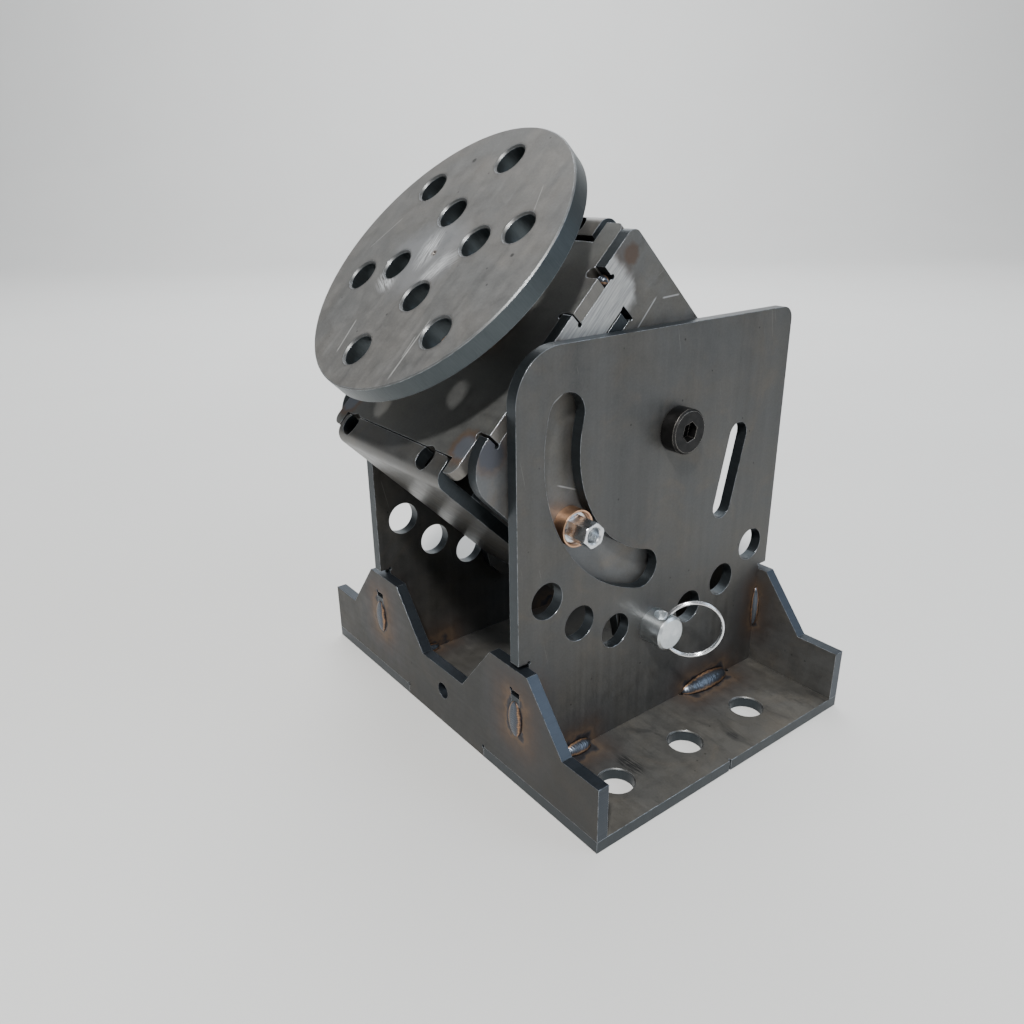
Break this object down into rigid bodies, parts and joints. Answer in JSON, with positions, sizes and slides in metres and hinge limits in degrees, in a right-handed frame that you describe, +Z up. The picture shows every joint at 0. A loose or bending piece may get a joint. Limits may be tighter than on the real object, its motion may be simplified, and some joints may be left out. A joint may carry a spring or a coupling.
{
  "type": "rotary table",
  "caption": "Tilting welding positioner of laser-cut plate: a cradle tilts between two uprights on an index pin and carries a round faceplate that turns, with a grid of tooling holes.",
  "frame": {"origin": "centre of the base plate's underside", "axes": "+Z up; +X along the tilt axis, towards the side with the index pin; -Y is the side the faceplate faces when tilted"},
  "size_m": [0.254, 0.2354, 0.3095],
  "materials": {
    "plate_steel": "hot-rolled mill scale, warm grey, with laser-cut edges",
    "face_steel": "hot-rolled plate, partly sanded",
    "weld_bead": "rippled bead with heat tint",
    "zinc_steel": "bright zinc",
    "bronze": "sintered bronze",
    "black_oxide": "black oxide"
  },
  "bodies": {
    "stand": {"base_plate": "plate_steel", "front_plate": "plate_steel", "rear_plate": "plate_steel", "upright_left": "plate_steel", "upright_right": "plate_steel", "plug_welds": "weld_bead", "base_welds": "weld_bead", "pivot_bushings": "bronze"},
    "cradle": {"cradle_top_plate": "plate_steel", "cradle_lower_plate": "plate_steel", "cradle_side_left": "plate_steel", "cradle_side_right": "plate_steel", "cradle_front_plate": "plate_steel", "cradle_rear_plate": "plate_steel", "cradle_welds": "weld_bead", "pivot_screws": "black_oxide", "pivot_nuts": "zinc_steel", "pivot_washers": "bronze", "lock_studs": "zinc_steel", "lock_sleeves": "bronze", "lock_washers": "zinc_steel", "spindle_bushings": "bronze"},
    "spindle": {"faceplate": "face_steel", "hub_flange": "face_steel", "spindle_shaft": "zinc_steel", "thrust_washer": "bronze", "stop_collar": "zinc_steel", "collar_screws": "black_oxide"},
    "lock_post_left": {"lock_post_left": "zinc_steel"},
    "lock_post_right": {"lock_post_right": "zinc_steel"},
    "index_pin": {"index_pin": "zinc_steel"},
    "pull_ring": {"pull_ring": "zinc_steel"}
  },
  "joints": [
    {"name": "tilt", "type": "hinge", "parent": "stand", "child": "cradle", "pos_m": [0, 0.007, 0.1705], "axis": [1, 0, 0], "range_deg": [-45, 45]},
    {"name": "disc_spin", "type": "hinge", "parent": "cradle", "child": "spindle", "pos_m": [0, 0.00311, 0.16661], "axis": [0, -0.7071, 0.7071], "continuous": true},
    {"name": "lock_turn_right", "type": "hinge", "parent": "cradle", "child": "lock_post_right", "pos_m": [0.07, -0.05735, 0.13335], "axis": [1, 0, 0], "range_deg": [0, 360]},
    {"name": "lock_turn_left", "type": "hinge", "parent": "cradle", "child": "lock_post_left", "pos_m": [-0.07, -0.05735, 0.13335], "axis": [-1, 0, 0], "range_deg": [0, 360]},
    {"name": "pin_pull", "type": "slide", "parent": "stand", "child": "index_pin", "axis": [1, 0, 0], "range_m": [0, 0.02]},
    {"name": "ring_swing", "type": "hinge", "parent": "index_pin", "child": "pull_ring", "pos_m": [0.07775, -0.00246, 0.06241], "axis": [0, 0, 1], "range_deg": [-100, 37]}
  ]
}
